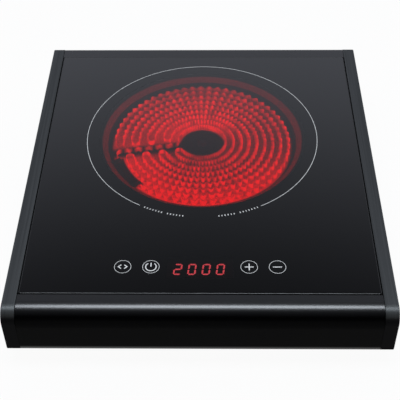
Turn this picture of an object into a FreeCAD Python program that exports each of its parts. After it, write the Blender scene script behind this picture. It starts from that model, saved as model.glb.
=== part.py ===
import FreeCAD, Part
import math
import os

# A portable hob with one radiant heating zone under a glass-ceramic plate, touch keys, a lit display
# and a small cooling fan. Millimetres, +Z up, origin on the table under the middle, front at -Y.

# Clearances
seam = 0.2                  # between fixed pieces that lie side by side
slip = 0.1                  # radial room of a fixed round piece in its hole
screw_slip = 0.05           # radial room of a screw in its hole
running = 0.05              # radial room of the fan shaft in its bearing
blade_gap = 1.2             # between the moving fan rotor and what stands round it
air_gap = 3.5               # between the tallest board component and the key board's carrier
board_margin = 3.0          # between a board or the fan and what stands beside it

# Housing
rail_width = 10.25
rail_wall = 2.0
rail_edge = 0.8             # rounding of a rail's outer edges
rail_proud = 0.2            # rails above the glass
front_radius = 14.0         # roll-over of the fascia
rear_radius = 3.0
rail_front_radius = 11.0    # roll-over of the rails at the front
rail_rear_radius = 4.0
lower_radius = 2.5
skirt_clearance = 14.0      # table to the lower edge of rails, fascia and rear panel
panel_wall = 2.5
strip_drop = 0.5            # front and rear strips below the glass
tray_wall = 2.0
tray_recess = 14.0          # front and rear faces to the tray's walls
wall_drop = 1.0             # tray's front and rear walls below the glass ledge
foot_height = 7.0
foot_radius = 11.0
foot_taper = 1.0
foot_edge = 0.8
foot_recess_room = 1.0      # round the screw head
foot_inset = 20.0           # tray's outer walls to a foot's centre
foot_recess_depth = 2.5
foot_boss_height = 5.0

# Glass
glass_thickness = 4.0
glass_gap = 0.35            # between the plate and the rails
glass_end_gap = 0.2         # between the plate and the front and rear strips
glass_edge_radius = 1.2
glass_corner_radius = 2.0
front_strip = 20.7          # front face to the glass
rear_strip = 14.6           # rear face to the glass
seal_thickness = 0.6
seal_width = 6.0
seal_inset = 1.0
ledge_width = 8.0
ledge_thickness = 2.0

# Zones of the plan
pan_radius = 101.0
side_space = 34.0           # heater pan to a rail
control_zone = 78.8         # glass front edge to the heater pan
rear_space = 14.5           # heater pan to the glass rear edge

# Heater
pan_wall = 0.8
pan_rim_gap = 4.0           # pan rim below the glass
insulation_thickness = 14.7
rim_width = 13.0            # insulation ring's face against the glass
rim_bevel_width = 5.0       # bevel inside that face
rim_bevel_height = 3.5
element_room = 8.3          # insulation floor below the glass
ribbon_width = 3.0          # across the corrugation
ribbon_height = 4.6
track_count = 9
first_track = 20.5
track_pitch = 6.9
lead_angle = 190.0          # direction of the radial return lead, from +X
lead_bend = 4.0
turn_clearance = 3.5        # between the track turns and the return lead
terminal_angle = 213.5
terminal_spread = 17.0      # tab to the middle of the terminal block
tab_width = 4.0
tab_thickness = 0.8
tab_overhang = 8.0          # tab past the terminal block
block_depth = 12.0
block_length = 48.0
block_height = 9.0
sensor_radius = 4.0
sensor_flange = 2.0
sensor_tip = 1.5            # above the insulation floor
sensor_tail = 8.0           # below the pan
cutout_radius = 8.0
cutout_height = 9.0
cutout_place = 45.0         # from the heater's middle
spring_place = 62.0
spring_width = 14.0
spring_thickness = 1.0
spring_foot = 10.0
spring_slope = 14.0
spring_crown = 14.0
stud_radius = 1.5
stud_height = 2.2

# Heat baffle
baffle_thickness = 0.8
baffle_gap = 3.0            # heater pan to the baffle
baffle_flange = 12.0
baffle_pad_height = 4.0
baffle_pad_place = 60.0
window_height = 16.0

# Boards, bottom to top
board_standoff = 6.0
board_thickness = 1.6
carrier_plate = 2.0
touch_spring_height = 7.0

# Key board
key_row = 26.7              # glass front edge to the key centres
inner_key = 37.2            # middle of the row to the inner keys
outer_key = 58.6
touch_spring_radius = 4.5
touch_spring_wall = 0.8
board_past_keys = 16.4      # outer key centres to the board's ends
control_board_depth = 42.0
carrier_rim = 2.0
display_width = 46.0
display_depth = 16.0
post_radius = 4.0
post_span = 52.0
post_offset = 12.0
post_reach = 16.0           # key row to a post

# Power board components
transformer_size = (30.0, 26.0, 20.0)
relay_size = (20.0, 16.0, 15.5)
capacitor_size = (26.0, 10.0, 18.0)
heat_sink_size = (36.0, 18.0, 20.0)
triac_size = (10.0, 4.5, 15.0)
fin_count = 7
fin_base = 4.0
fuse_radius = 2.6
fuse_length = 20.0
fuse_height = 5.0
buzzer_radius = 6.0
buzzer_height = 9.0
terminal_size = 7.0
terminal_height = 8.0
terminal_count = 5
header_size = (14.0, 5.0, 6.0)
socket_size = (8.0, 6.0, 6.0)
cable_thickness = 1.0
component_gap = 4.0

# Fan
fan_size = 60.0
fan_depth = 15.0
fan_rim = 1.5               # frame between its bore and its sides
fan_base = 2.0
fan_boss_height = 3.0
fan_screw_inset = 5.0
hub_radius = 13.0
hub_wall = 1.2
blade_count = 7
blade_pitch = 35.0
blade_chord = 15.0
blade_thickness = 1.2
shaft_radius = 1.5
bearing_radius = 3.0
bearing_tube_radius = 4.2
stator_radius = 9.5

# Screws and bosses
screw_radius = 1.4
screw_head_radius = 2.7
screw_head_height = 1.8
screw_head_edge = 0.8
cross_width = 0.8           # recess for the driver
cross_reach = 1.5
cross_depth = 1.1
boss_radius = 4.0
boss_inset = 35.0           # from a panel's end to its outer boss
boss_rise = 22.0            # from the skirt's lower edge to a boss

# Vents and cord inlet
slot_width = 3.0
slot_pitch = 6.0
vent_height = 12.0
vent_slots = 9
vent_bank = 45.0            # middle of a bank of slots from the middle of the rear panel
vent_rise = 7.0             # from the skirt's lower edge to the slots
gland_radius = 7.0
gland_bore = 3.6
gland_flange = 2.0
gland_inset = 18.0          # from the rail to the gland
gland_rise = 13.0

# Leads
lead_radius = 1.6
thin_lead_radius = 1.1

# Places that follow from the sizes
width = 2 * (pan_radius + side_space + rail_width)
depth = front_strip + control_zone + 2 * pan_radius + rear_space + rear_strip
front = -depth / 2
back = depth / 2
glass_front = front + front_strip
glass_back = back - rear_strip
heater_y = glass_front + control_zone + pan_radius
key_y = glass_front + key_row
key_places = {"mode_key_spring": -outer_key, "power_key_spring": -inner_key,
              "plus_key_spring": inner_key, "minus_key_spring": outer_key}
control_board_width = 2 * (outer_key + board_past_keys)
tray_half = width / 2 - rail_width
tray_inside = tray_half - tray_wall
tray_front = front + tray_recess
tray_back = back - tray_recess
bay_front = tray_front + tray_wall
baffle_back = heater_y - pan_radius - baffle_gap
baffle_front = baffle_back - baffle_thickness
post_left = post_offset - post_span / 2
post_right = post_offset + post_span / 2

floor_top = foot_height + tray_wall
power_board_top = floor_top + board_standoff + board_thickness
tallest = max(transformer_size[2], relay_size[2], capacitor_size[2], heat_sink_size[2])
carrier_bottom = power_board_top + tallest + air_gap
control_board_bottom = carrier_bottom + carrier_plate
control_board_top = control_board_bottom + board_thickness
glass_bottom = control_board_top + touch_spring_height
top = glass_bottom + glass_thickness
rail_top = top + rail_proud
ledge_top = glass_bottom - seal_thickness
ledge_bottom = ledge_top - ledge_thickness
tray_rim = ledge_bottom - wall_drop
insulation_floor = glass_bottom - element_room
pan_floor = insulation_floor - insulation_thickness
pan_bottom = pan_floor - pan_wall
pan_rim = glass_bottom - pan_rim_gap
element_top = insulation_floor + ribbon_height
boss_z = skirt_clearance + boss_rise
gland_x = -(tray_half - gland_inset)
gland_z = skirt_clearance + gland_rise

board_left = -tray_inside + board_margin
board_right = post_left - post_radius - board_margin
board_front = bay_front + board_margin
board_rear = baffle_front - board_margin
fan_x = post_right + post_radius + board_margin + fan_size / 2
fan_y = (bay_front + baffle_front) / 2
fan_z = floor_top + fan_boss_height
fan_bore = fan_size / 2 - fan_rim

UP = FreeCAD.Vector(0, 0, 1)
made = []


def point(x, y, z):
    return FreeCAD.Vector(x, y, z)


def block(x0, x1, y0, y1, z0, z1):
    """A box between two corners."""
    return Part.makeBox(x1 - x0, y1 - y0, z1 - z0, point(x0, y0, z0))


def rod(radius, start, end):
    """A round bar from one point to another."""
    along = end - start
    return Part.makeCylinder(radius, along.Length, start, along)


def upright(radius, x, y, z0, z1):
    """A round bar along Z."""
    return rod(radius, point(x, y, z0), point(x, y, z1))


def screw(start, end):
    """A cross-recessed pan-head screw: its head stands on the start point, its shank reaches the end."""
    along = end - start
    head = upright(screw_head_radius, 0, 0, -screw_head_height, 0)
    crown = [edge for edge in head.Edges if all(v.Z < -screw_head_height / 2 for v in edge.Vertexes)]
    head = head.makeFillet(screw_head_edge, crown)
    for reach_x, reach_y in ((cross_reach, cross_width / 2), (cross_width / 2, cross_reach)):
        head = head.cut(block(-reach_x, reach_x, -reach_y, reach_y,
                              -screw_head_height, cross_depth - screw_head_height))
    whole = head.fuse(upright(screw_radius, 0, 0, 0, along.Length)).removeSplitter()
    whole.Placement = FreeCAD.Placement(start, FreeCAD.Rotation(UP, along))
    return whole


def rounded_along_x(shape, corners):
    """Rounds the edges that run along X: corners maps an edge's (y, z) to its radius."""
    for (y, z), radius in corners.items():
        for edge in shape.Edges:
            ends = [vertex.Point for vertex in edge.Vertexes]
            if all(abs(p.y - y) + abs(p.z - z) < 0.001 for p in ends):
                shape = shape.makeFillet(radius, [edge])
                break
    return shape


def save(name, *solids):
    """Writes one sub-part, of one solid or of a group of like ones."""
    shape = solids[0] if len(solids) == 1 else Part.makeCompound(list(solids))
    shape.exportStep("parts/" + name + ".step")
    made.append(name)


def screw_row(half_length):
    """Three screw places along a panel: near both ends and in the middle."""
    outer = half_length - boss_inset
    return [-outer, 0.0, outer]


def vent_cutters(y0, y1):
    """Upright slots in two banks, cut through a rear wall between y0 and y1."""
    z0 = skirt_clearance + vent_rise
    first = -(vent_slots - 1) / 2 * slot_pitch
    middles = [bank + first + n * slot_pitch for bank in (-vent_bank, vent_bank) for n in range(vent_slots)]
    return [block(x - slot_width / 2, x + slot_width / 2, y0, y1, z0, z0 + vent_height) for x in middles]


# Base tray: a moulded pan that carries everything, with side flanges under the glass

rail_screw_places = [tray_front + boss_inset, 0.0, tray_back - boss_inset]
panel_screw_places = screw_row(tray_half)
foot_places = {
    "front_left_foot": (-(tray_half - foot_inset), tray_front + foot_inset),
    "front_right_foot": (tray_half - foot_inset, tray_front + foot_inset),
    "rear_left_foot": (-(tray_half - foot_inset), tray_back - foot_inset),
    "rear_right_foot": (tray_half - foot_inset, tray_back - foot_inset),
}
board_corners = [(x, y)
                 for x in (board_left + boss_radius, board_right - boss_radius)
                 for y in (board_front + boss_radius, board_rear - boss_radius)]
fan_corner = fan_size / 2 - fan_screw_inset
fan_corners = [(fan_x + sx * fan_corner, fan_y + sy * fan_corner) for sx in (-1, 1) for sy in (-1, 1)]
post_places = [(x, key_y + side * post_reach) for x in (post_left, post_right) for side in (-1, 1)]
baffle_pads = [(side * baffle_pad_place, baffle_back + baffle_flange / 2) for side in (-1, 1)]
spring_angles = {"heater_spring_right": 30.0, "heater_spring_left": 150.0, "heater_spring_front": 270.0}
spring_span = spring_crown / 2 + spring_slope + spring_foot / 2


def heater_point(radius, angle, z):
    """A point given by its distance and direction from the heater's middle."""
    turn = math.radians(angle)
    return point(radius * math.cos(turn), heater_y + radius * math.sin(turn), z)


stud_places = [heater_point(spring_place + side * spring_span, angle, floor_top)
               for angle in spring_angles.values() for side in (-1, 1)]


def base_tray():
    z0 = foot_height
    tray = block(-tray_half, tray_half, tray_front, tray_back, z0, floor_top)
    for side in (-1, 1):
        wall = sorted((side * tray_inside, side * tray_half))
        flange = sorted((side * tray_inside, side * (tray_inside - ledge_width)))
        tray = tray.fuse(block(wall[0], wall[1], tray_front, tray_back, z0, ledge_top))
        tray = tray.fuse(block(flange[0], flange[1], glass_front + ledge_width + seam,
                               glass_back - ledge_width - seam, ledge_bottom, ledge_top))
    tray = tray.fuse(block(-tray_half, tray_half, tray_front, bay_front, z0, tray_rim))
    tray = tray.fuse(block(-tray_half, tray_half, tray_back - tray_wall, tray_back, z0, tray_rim))
    bosses = [(x, y, boss_radius, foot_boss_height) for x, y in foot_places.values()]
    bosses += [(x, y, boss_radius, board_standoff) for x, y in board_corners]
    bosses += [(x, y, boss_radius, fan_boss_height) for x, y in fan_corners]
    bosses += [(x, y, post_radius, carrier_bottom - floor_top) for x, y in post_places]
    bosses += [(x, y, boss_radius, baffle_pad_height) for x, y in baffle_pads]
    for x, y, radius, rise in bosses:
        tray = tray.fuse(upright(radius, x, y, floor_top - tray_wall / 2, floor_top + rise))
    for place in stud_places:
        tray = tray.fuse(upright(stud_radius, place.x, place.y, foot_height + tray_wall / 2,
                                 floor_top + stud_height))
    hole = screw_radius + screw_slip
    holes = [upright(hole, x, y, 0, floor_top + foot_boss_height) for x, y in foot_places.values()]
    for x, y, radius, rise in bosses[len(foot_places):]:
        holes.append(upright(hole, x, y, foot_height + tray_wall / 2, floor_top + rise))
    for y in rail_screw_places:
        holes.append(rod(hole, point(-width, y, boss_z), point(width, y, boss_z)))
    for x in panel_screw_places:
        holes.append(rod(hole, point(x, front, boss_z), point(x, back, boss_z)))
    holes.append(rod(gland_radius + slip, point(gland_x, 0, gland_z), point(gland_x, back, gland_z)))
    holes += vent_cutters(tray_back - tray_wall, tray_back)
    reach = fan_bore - slot_width
    rows = int(reach // slot_pitch)
    for row in range(-rows, rows + 1):
        across = row * slot_pitch
        half = math.sqrt(reach ** 2 - across ** 2)
        holes.append(block(fan_x + across - slot_width / 2, fan_x + across + slot_width / 2,
                           fan_y - half, fan_y + half, 0, floor_top))
    return tray.cut(holes).removeSplitter()


# Side rails: brushed black aluminium cheeks, open to the tray, rolled over the front

def rail(side):
    inner = side * tray_half
    outer = side * width / 2
    x0, x1 = sorted((inner, outer))
    cheek = block(x0, x1, front, back, skirt_clearance, rail_top)
    cheek = rounded_along_x(cheek, {(front, rail_top): rail_front_radius, (back, rail_top): rail_rear_radius,
                                    (front, skirt_clearance): lower_radius,
                                    (back, skirt_clearance): lower_radius})
    outline = [edge for edge in cheek.Edges if all(abs(v.X - outer) < 0.001 for v in edge.Vertexes)]
    cheek = cheek.makeFillet(rail_edge, outline)
    x0, x1 = sorted((inner, outer - side * rail_wall))
    y0, y1 = front + rail_wall, back - rail_wall
    z0, z1 = skirt_clearance + rail_wall, rail_top - rail_wall
    hollow = rounded_along_x(block(x0, x1, y0, y1, z0, z1), {
        (y0, z1): max(rail_front_radius - rail_wall, 0.1),
        (y1, z1): max(rail_rear_radius - rail_wall, 0.1)})
    cheek = cheek.cut(hollow)
    for y in rail_screw_places:
        cheek = cheek.fuse(rod(boss_radius, point(outer - side * rail_wall / 2, y, boss_z),
                               point(inner, y, boss_z)))
    tip = outer - side * rail_wall
    holes = [rod(screw_radius + screw_slip, point(inner, y, boss_z), point(tip, y, boss_z))
             for y in rail_screw_places]
    return cheek.cut(holes).removeSplitter()


def rail_screws():
    reach = tray_half + rail_width - rail_wall - 2 * slip
    return [screw(point(side * tray_inside, y, boss_z), point(side * reach, y, boss_z))
            for side in (-1, 1) for y in rail_screw_places]


# Front fascia and rear panel: gloss mouldings between the rails, each with a ledge for the glass

def edge_panel(face, glass_edge, inward, roll, strip):
    """A wall and a top strip in one, with a ledge that reaches under the glass and bosses behind."""
    half = tray_half - seam
    rear = glass_edge - inward * glass_end_gap
    y0, y1 = sorted((face, rear))
    shell = rounded_along_x(block(-half, half, y0, y1, skirt_clearance, strip),
                            {(face, strip): roll, (face, skirt_clearance): lower_radius})
    inside = face + inward * panel_wall
    y0, y1 = sorted((inside, rear + inward * panel_wall))
    under = strip - panel_wall
    hollow = rounded_along_x(block(-width, width, y0, y1, 0, under),
                             {(inside, under): max(roll - panel_wall, 0.1)})
    shell = shell.cut(hollow)
    half = tray_inside - seam
    y0, y1 = sorted((rear - inward * ledge_thickness, rear))
    shell = shell.fuse(block(-half, half, y0, y1, ledge_bottom, strip - panel_wall / 2))
    y0, y1 = sorted((rear - inward * ledge_thickness, glass_edge + inward * ledge_width))
    shell = shell.fuse(block(-half, half, y0, y1, ledge_bottom, ledge_top))
    tray_face = face + inward * tray_recess
    for x in panel_screw_places:
        shell = shell.fuse(rod(boss_radius, point(x, face + inward * panel_wall / 2, boss_z),
                               point(x, tray_face, boss_z)))
    holes = [rod(screw_radius + screw_slip, point(x, inside, boss_z), point(x, tray_face, boss_z))
             for x in panel_screw_places]
    return shell.cut(holes)


def front_fascia():
    return edge_panel(front, glass_front, 1, front_radius, top - strip_drop).removeSplitter()


def rear_panel():
    panel = edge_panel(back, glass_back, -1, rear_radius, top - strip_drop)
    cuts = vent_cutters(back - panel_wall, back)
    cuts.append(rod(gland_radius + slip, point(gland_x, tray_back, gland_z),
                    point(gland_x, back, gland_z)))
    return panel.cut(cuts).removeSplitter()


def panel_screws(face, inward):
    tray_face = face + inward * (tray_recess + tray_wall)
    tip = face + inward * (panel_wall + 2 * slip)
    return [screw(point(x, tray_face, boss_z), point(x, tip, boss_z)) for x in panel_screw_places]


# Glass plate with a pencil-ground edge, on a thin silicone bead

glass_half = tray_half - glass_gap


def glass_top():
    plate = block(-glass_half, glass_half, glass_front, glass_back, glass_bottom, top)
    corners = [edge for edge in plate.Edges
               if abs(edge.Vertexes[0].Z - edge.Vertexes[1].Z) > glass_thickness / 2]
    plate = plate.makeFillet(glass_corner_radius, corners)
    rim = [edge for edge in plate.Edges if all(abs(v.Z - top) < 0.001 for v in edge.Vertexes)]
    return plate.makeFillet(glass_edge_radius, rim)


def glass_seal():
    def frame(inset):
        return block(-glass_half + inset, glass_half - inset, glass_front + inset, glass_back - inset,
                     ledge_top, glass_bottom)
    return frame(seal_inset).cut(frame(seal_inset + seal_width))


# Rubber feet, each with its screw sunk in a recess

def foot(x, y):
    body = Part.makeCone(foot_radius - foot_taper, foot_radius, foot_height, point(x, y, 0), UP)
    sole = [edge for edge in body.Edges if all(v.Z < 0.001 for v in edge.Vertexes)]
    body = body.makeFillet(foot_edge, sole)
    recess = upright(screw_head_radius + foot_recess_room, x, y, 0, foot_recess_depth)
    return body.cut([recess, upright(screw_radius + screw_slip, x, y, 0, foot_height)])


def foot_screws():
    tip = floor_top + foot_boss_height - 2 * slip
    return [screw(point(x, y, foot_recess_depth), point(x, y, tip)) for x, y in foot_places.values()]


# Heater: a steel pan with an insulation floor and rim, pressed up against the glass by springs

def disc(radius, z0, z1):
    return upright(radius, 0, heater_y, z0, z1)


def heater_pan():
    dish = disc(pan_radius, pan_bottom, pan_rim).cut(disc(pan_radius - pan_wall, pan_floor, pan_rim))
    return dish.cut(disc(sensor_radius + slip, pan_bottom, pan_floor))


insulation_radius = pan_radius - pan_wall - slip


def insulation_base():
    floor = disc(insulation_radius, pan_floor, insulation_floor)
    return floor.cut(disc(sensor_radius + slip, pan_floor, insulation_floor))


along_block = heater_point(1, terminal_angle, 0) - heater_point(0, terminal_angle, 0)
across_block = UP.cross(along_block)
outer_track = first_track + (track_count - 1) * track_pitch
tab_start = math.sqrt(outer_track ** 2 - terminal_spread ** 2) - ribbon_width / 2
tab_end = pan_radius + block_depth + tab_overhang


def bar_on_block(near, far, half_width, offset, z0, z1):
    """A bar along the terminal block's own direction, at an offset across it."""
    bar = block(near, far, offset - half_width, offset + half_width, z0, z1)
    bar.rotate(point(0, 0, 0), UP, terminal_angle)
    bar.translate(point(0, heater_y, 0))
    return bar


def insulation_ring():
    mouth = insulation_radius - rim_width
    throat = mouth - rim_bevel_width
    bevel_foot = glass_bottom - rim_bevel_height
    ring = disc(insulation_radius, insulation_floor, glass_bottom)
    ring = ring.cut(disc(throat, insulation_floor, glass_bottom))
    ring = ring.cut(Part.makeCone(throat, mouth, rim_bevel_height, point(0, heater_y, bevel_foot), UP))
    slots = [bar_on_block(tab_start, tab_end, tab_width / 2 + seam, side * terminal_spread,
                          element_top - seam, element_top + tab_thickness + seam) for side in (-1, 1)]
    return ring.cut(slots)


def heater_terminals():
    return [bar_on_block(tab_start, tab_end, tab_width / 2, side * terminal_spread,
                         element_top, element_top + tab_thickness) for side in (-1, 1)]


def terminal_block():
    body = bar_on_block(pan_radius - block_depth, pan_radius + block_depth, block_length / 2, 0,
                        element_top - block_height, element_top)
    return body.cut(disc(pan_radius + slip, pan_bottom, glass_bottom))


# Heating ribbon: tracks joined by half turns, a radial return lead and two ends at the terminals

def ribbon_path():
    """Edges of the ribbon's centre line, from the terminal of the outer track to the other one."""
    z = insulation_floor + ribbon_height / 2
    turn_radius = track_pitch / 2
    turn_offset = ribbon_width + turn_clearance + turn_radius
    swing = math.degrees(math.asin(terminal_spread / outer_track))
    edges = []

    def at(radius, angle):
        return heater_point(radius, angle, z)

    def tangent(angle):
        return UP.cross(at(1, angle) - at(0, angle))

    def along_track(radius, angle, end):
        parts = max(1, math.ceil(abs(end - angle) / 90))
        step = (end - angle) / parts
        for n in range(parts):
            a = angle + n * step
            edges.append(Part.Arc(at(radius, a), at(radius, a + step / 2), at(radius, a + step)).toShape())

    def bend(start, centre, end):
        middle = (start + end) * 0.5 - centre
        crown = centre + middle.normalize() * (start - centre).Length
        edges.append(Part.Arc(start, crown, end).toShape())

    def turn_angle(track, way):
        """Where a track turns into the next one inwards; way is 1 on the back side of the lead."""
        middle = first_track + (track - 0.5) * track_pitch
        aside = math.degrees(math.asin(turn_offset / middle))
        return lead_angle - aside if way > 0 else lead_angle + aside - 360

    angle = terminal_angle + swing - 360
    start = at(outer_track, angle)
    edges.append(Part.LineSegment(start - tangent(angle) * ribbon_width, start).toShape())
    way = 1
    for track in range(track_count - 1, 0, -1):
        radius = first_track + track * track_pitch
        end = turn_angle(track, way)
        along_track(radius, angle, end)
        crown = at(radius - turn_radius, end) + tangent(end) * (way * turn_radius)
        edges.append(Part.Arc(at(radius, end), crown, at(radius - track_pitch, end)).toShape())
        angle = end
        way = -way
    lean = math.degrees(math.asin(lead_bend / (first_track + lead_bend)))
    along_track(first_track, angle, lead_angle - lean)
    lead_start = math.sqrt((first_track + lead_bend) ** 2 - lead_bend ** 2)
    bend(at(first_track, lead_angle - lean), at(first_track + lead_bend, lead_angle - lean),
         at(lead_start, lead_angle))
    lead_end = math.sqrt((outer_track - lead_bend) ** 2 - lead_bend ** 2)
    edges.append(Part.LineSegment(at(lead_start, lead_angle), at(lead_end, lead_angle)).toShape())
    lean = math.degrees(math.asin(lead_bend / (outer_track - lead_bend)))
    bend(at(lead_end, lead_angle), at(outer_track - lead_bend, lead_angle + lean),
         at(outer_track, lead_angle + lean))
    angle = terminal_angle - swing
    along_track(outer_track, lead_angle + lean, angle)
    end = at(outer_track, angle)
    edges.append(Part.LineSegment(end, end + tangent(angle) * ribbon_width).toShape())
    return edges


def print_least_gap(wire):
    """Measures the ribbon's least gap to itself on points, apart from its own neighbourhood."""
    step = 1.5
    count = int(wire.Length / step)
    points = wire.discretize(count)
    apart = int(3 * track_pitch / step)
    least = min((points[a] - points[b]).Length for a in range(count) for b in range(a + apart, count))
    gap = least - ribbon_width
    print("heating element: length %.0f mm, least gap to itself %.2f mm" % (wire.Length, gap))


def heating_element():
    edges = ribbon_path()
    wire = Part.Wire(edges)
    print_least_gap(wire)
    start = wire.OrderedVertexes[0].Point
    along = edges[0].tangentAt(edges[0].FirstParameter)
    across = UP.cross(along) * (ribbon_width / 2)
    rise = UP * (ribbon_height / 2)
    corners = [start + across + rise, start - across + rise, start - across - rise, start + across - rise]
    section = Part.makePolygon(corners + corners[:1])
    ribbon = wire.makePipeShell([section], True, False)
    print("heating element: volume over section times length %.4f"
          % (ribbon.Volume / (ribbon_width * ribbon_height * wire.Length)))
    return ribbon


def heat_sensor():
    stem = disc(sensor_radius, pan_bottom - sensor_tail, insulation_floor + sensor_tip)
    flange = disc(sensor_radius + sensor_flange, pan_bottom - sensor_flange, pan_bottom)
    return stem.fuse(flange).removeSplitter()


cutout_at = heater_point(cutout_place, terminal_angle, pan_bottom)


def thermal_cutout():
    body = upright(cutout_radius, cutout_at.x, cutout_at.y, pan_bottom - cutout_height, pan_bottom)
    ears = block(cutout_at.x - 1.6 * cutout_radius, cutout_at.x + 1.6 * cutout_radius,
                 cutout_at.y - cutout_radius / 2, cutout_at.y + cutout_radius / 2,
                 pan_bottom - spring_thickness, pan_bottom)
    return body.fuse(ears).removeSplitter()


def heater_spring(angle):
    """A bent strip that stands on the tray and carries the pan on its crown."""
    crown = spring_crown / 2
    knee = crown + spring_slope
    end = knee + spring_foot
    rise = pan_bottom - spring_thickness
    rising = [(-end, floor_top), (-knee, floor_top), (-crown, rise)]
    low = rising + [(-s, z) for s, z in reversed(rising)]
    line = low + [(s, z + spring_thickness) for s, z in reversed(low)]
    half = spring_width / 2
    face = Part.Face(Part.makePolygon([point(s, -half, z) for s, z in line + line[:1]]))
    strip = face.extrude(point(0, spring_width, 0))
    for side in (-1, 1):
        strip = strip.cut(upright(stud_radius + slip, side * spring_span, 0, floor_top, pan_bottom))
    strip.translate(point(spring_place, 0, 0))
    strip.rotate(point(0, 0, 0), UP, angle)
    strip.translate(point(0, heater_y, 0))
    return strip


# Heat baffle: a bent sheet between the heater and the boards, with windows for the leads

baffle_half = tray_inside - board_margin
baffle_bottom = floor_top + baffle_pad_height
window_bottom = power_board_top - board_thickness
terminal_left = board_left + 2 * boss_radius + component_gap
terminal_pitch = terminal_size + component_gap
sensor_socket_x = board_right - 2 * boss_radius - component_gap - socket_size[0] / 2
heater_window = (terminal_left - component_gap, terminal_left + terminal_count * terminal_pitch)
sensor_window = (sensor_socket_x - socket_size[0], sensor_socket_x + socket_size[0])


def heat_baffle():
    sheet = block(-baffle_half, baffle_half, baffle_front, baffle_back, baffle_bottom, tray_rim)
    sheet = sheet.fuse(block(-baffle_half, baffle_half, baffle_front, baffle_back + baffle_flange,
                             baffle_bottom, baffle_bottom + baffle_thickness))
    cuts = [block(x0, x1, baffle_front, baffle_back, window_bottom, window_bottom + window_height)
            for x0, x1 in (heater_window, sensor_window)]
    cuts += [upright(screw_radius + screw_slip, x, y, baffle_bottom, baffle_bottom + baffle_thickness)
             for x, y in baffle_pads]
    return sheet.cut(cuts).removeSplitter()


def baffle_screws():
    head = baffle_bottom + baffle_thickness
    return [screw(point(x, y, head), point(x, y, floor_top)) for x, y in baffle_pads]


# Key board with its carrier, contact springs and display

carrier_half = control_board_width / 2 + seam + carrier_rim
carrier_reach = control_board_depth / 2 + seam + carrier_rim
cable_x = header_size[0] / 2 - control_board_width / 2
cable_y = key_y + touch_spring_radius


def control_carrier():
    tray = block(-carrier_half, carrier_half, key_y - carrier_reach, key_y + carrier_reach,
                 carrier_bottom, control_board_top)
    half = carrier_half - carrier_rim
    reach = carrier_reach - carrier_rim
    seat = block(-half, half, key_y - reach, key_y + reach, control_board_bottom, control_board_top)
    slot = block(cable_x - header_size[0] / 2 - seam, cable_x + header_size[0] / 2 + seam,
                 cable_y - header_size[1] / 2, cable_y + header_size[1] / 2, carrier_bottom,
                 control_board_bottom)
    holes = [upright(screw_radius + screw_slip, x, y, carrier_bottom, control_board_bottom)
             for x, y in post_places]
    return tray.cut([seat, slot] + holes)


def control_board():
    board = block(-control_board_width / 2, control_board_width / 2, key_y - control_board_depth / 2,
                  key_y + control_board_depth / 2, control_board_bottom, control_board_top)
    return board.cut([upright(screw_radius + screw_slip, x, y, control_board_bottom, control_board_top)
                      for x, y in post_places])


def control_screws():
    return [screw(point(x, y, control_board_top), point(x, y, carrier_bottom - post_radius))
            for x, y in post_places]


def touch_spring(x):
    outer = upright(touch_spring_radius, x, key_y, control_board_top, glass_bottom)
    inner = touch_spring_radius - touch_spring_wall
    return outer.cut(upright(inner, x, key_y, control_board_top, glass_bottom))


def display_module():
    return block(-display_width / 2, display_width / 2, key_y - display_depth / 2,
                 key_y + display_depth / 2, control_board_top, glass_bottom - seam)


# Power board and its components, laid out in two rows from the board's left front corner

def power_board():
    board = block(board_left, board_right, board_front, board_rear,
                  power_board_top - board_thickness, power_board_top)
    return board.cut([upright(screw_radius + screw_slip, x, y, power_board_top - board_thickness,
                              power_board_top) for x, y in board_corners])


def power_board_screws():
    return [screw(point(x, y, power_board_top), point(x, y, floor_top)) for x, y in board_corners]


row_front = board_front + 2 * boss_radius + component_gap / 2
row_left = board_left + component_gap


def on_board(x, y, size):
    """A component's box, from its left front corner on the board."""
    return block(x, x + size[0], y, y + size[1], power_board_top, power_board_top + size[2])


def transformer():
    wide, deep, tall = transformer_size
    core = on_board(row_left, row_front, transformer_size)
    core = core.cut(block(row_left, row_left + wide, row_front, row_front + deep / 6,
                          power_board_top, power_board_top + tall / 5))
    winding = block(row_left + wide / 4, row_left + 3 * wide / 4, row_front - deep / 12,
                    row_front + 13 * deep / 12, power_board_top + tall / 4, power_board_top + 3 * tall / 4)
    return core.fuse(winding).removeSplitter()


relay_left = row_left + transformer_size[0] + component_gap


def relay():
    return on_board(relay_left, row_front, relay_size)


sink_left = relay_left + relay_size[0] + component_gap


def heat_sink():
    wide, deep, tall = heat_sink_size
    sink = on_board(sink_left, row_front, heat_sink_size)
    pitch = wide / fin_count
    gaps = [block(sink_left + (n + 0.6) * pitch, sink_left + (n + 1) * pitch, row_front,
                  row_front + deep - fin_base, power_board_top, power_board_top + tall)
            for n in range(fin_count - 1)]
    return sink.cut(gaps)


row_rear = row_front + max(transformer_size[1], relay_size[1], heat_sink_size[1]) + component_gap


def triac():
    left = sink_left + heat_sink_size[0] - component_gap - triac_size[0]
    return on_board(left, row_front + heat_sink_size[1], triac_size)


def filter_capacitor():
    return on_board(row_left, row_rear, capacitor_size)


def fuse():
    x = row_left + capacitor_size[0] + component_gap
    y = row_rear + fuse_radius
    z = power_board_top + fuse_height
    tube = rod(fuse_radius, point(x, y, z), point(x + fuse_length, y, z))
    clip = fuse_length / 5
    for near in (x, x + fuse_length - clip):
        half = fuse_radius + screw_slip
        tube = tube.fuse(block(near, near + clip, y - half, y + half, power_board_top, z))
    return tube.removeSplitter()


def buzzer():
    x = board_right - buzzer_radius - component_gap
    y = row_rear + buzzer_radius + component_gap
    return upright(buzzer_radius, x, y, power_board_top, power_board_top + buzzer_height)


post_row = board_rear - 2 * boss_radius - terminal_size
fan_socket_x = board_right - component_gap - socket_size[0]


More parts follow.
